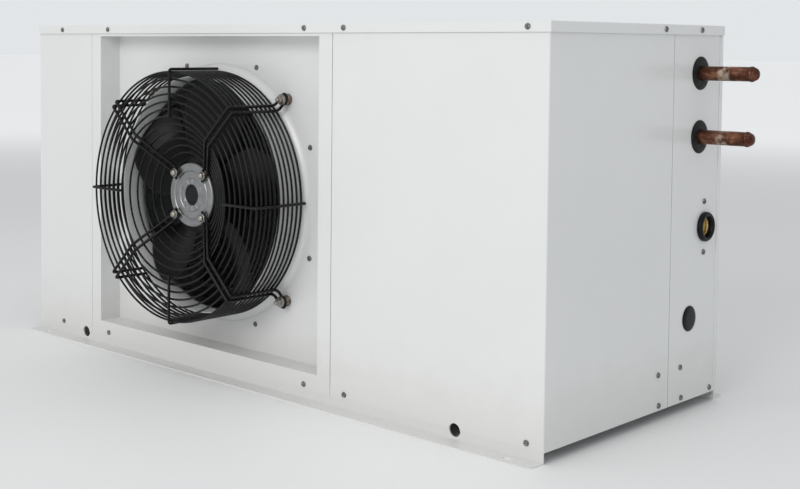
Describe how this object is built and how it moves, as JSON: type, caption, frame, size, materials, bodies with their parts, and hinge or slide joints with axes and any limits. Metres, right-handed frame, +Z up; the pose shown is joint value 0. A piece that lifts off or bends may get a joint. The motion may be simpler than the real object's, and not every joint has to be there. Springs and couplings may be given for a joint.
{
  "type": "condensing unit",
  "caption": "Housed air-cooled condensing unit in a white sheet-metal casing with a recessed axial fan, wire guard and two capped copper pipe stubs.",
  "frame": {"origin": "on the floor, in the middle of the four fixing slots of the base rails", "axes": "+X to the right seen from the fan side, +Y from the fan side to the coil side, +Z up"},
  "size_m": [1.2953, 0.5844, 0.6],
  "materials": {
    "white_paint": "gloss",
    "galvanised": "satin",
    "black_wire": "gloss",
    "black_paint": "satin",
    "cast_aluminium": "satin",
    "zinc_steel": "satin",
    "fin_aluminium": "satin",
    "copper": "satin",
    "brass": "satin",
    "rubber": "matte",
    "dark_plastic": "satin",
    "grey_plastic": "satin"
  },
  "bodies": {
    "casing": {"front_rail": "white_paint", "rear_rail": "white_paint", "base_pan": "galvanised", "lid": "white_paint", "left_front_panel": "white_paint", "fan_panel": "white_paint", "service_panel": "white_paint", "pipe_panel": "white_paint", "left_end_panel": "white_paint", "rear_panel": "white_paint", "rear_frame": "white_paint", "divider": "galvanised", "fan_nozzle": "white_paint", "fan_stator": "cast_aluminium", "fan_cap": "rubber", "guard_rings": "black_wire", "guard_arms": "black_wire", "guard_spacers": "black_wire", "guard_studs": "zinc_steel", "guard_bushes": "rubber", "stator_screws": "zinc_steel", "coil_block": "fin_aluminium", "coil_plates": "galvanised", "coil_bends": "copper", "compressor_shell": "black_paint", "compressor_feet": "black_paint", "compressor_mounts": "rubber", "compressor_bolts": "zinc_steel", "terminal_box": "dark_plastic", "receiver": "black_paint", "receiver_valve": "brass", "filter_drier": "copper", "suction_stub": "copper", "liquid_stub": "copper", "grommets": "rubber", "suction_pipe": "copper", "discharge_pipe": "copper", "liquid_pipe": "copper", "sight_glass_bezel": "black_paint", "sight_glass_body": "brass", "cable_plug": "dark_plastic", "control_box": "grey_plastic", "pressure_switch": "grey_plastic", "front_screws": "zinc_steel", "lid_screws": "zinc_steel", "end_screws": "zinc_steel", "nozzle_screws": "zinc_steel"},
    "fan": {"fan_rotor": "black_paint"},
    "valve": {"receiver_valve_stem": "brass"}
  },
  "joints": [
    {"name": "fan_spin", "type": "hinge", "parent": "casing", "child": "fan", "pos_m": [-0.1095, -0.25, 0.3085], "axis": [0, 1, 0], "continuous": true},
    {"name": "valve_turn", "type": "hinge", "parent": "casing", "child": "valve", "pos_m": [0.2825, 0.16, 0.32], "axis": [0, 0, 1], "range_deg": [0, 720]}
  ]
}
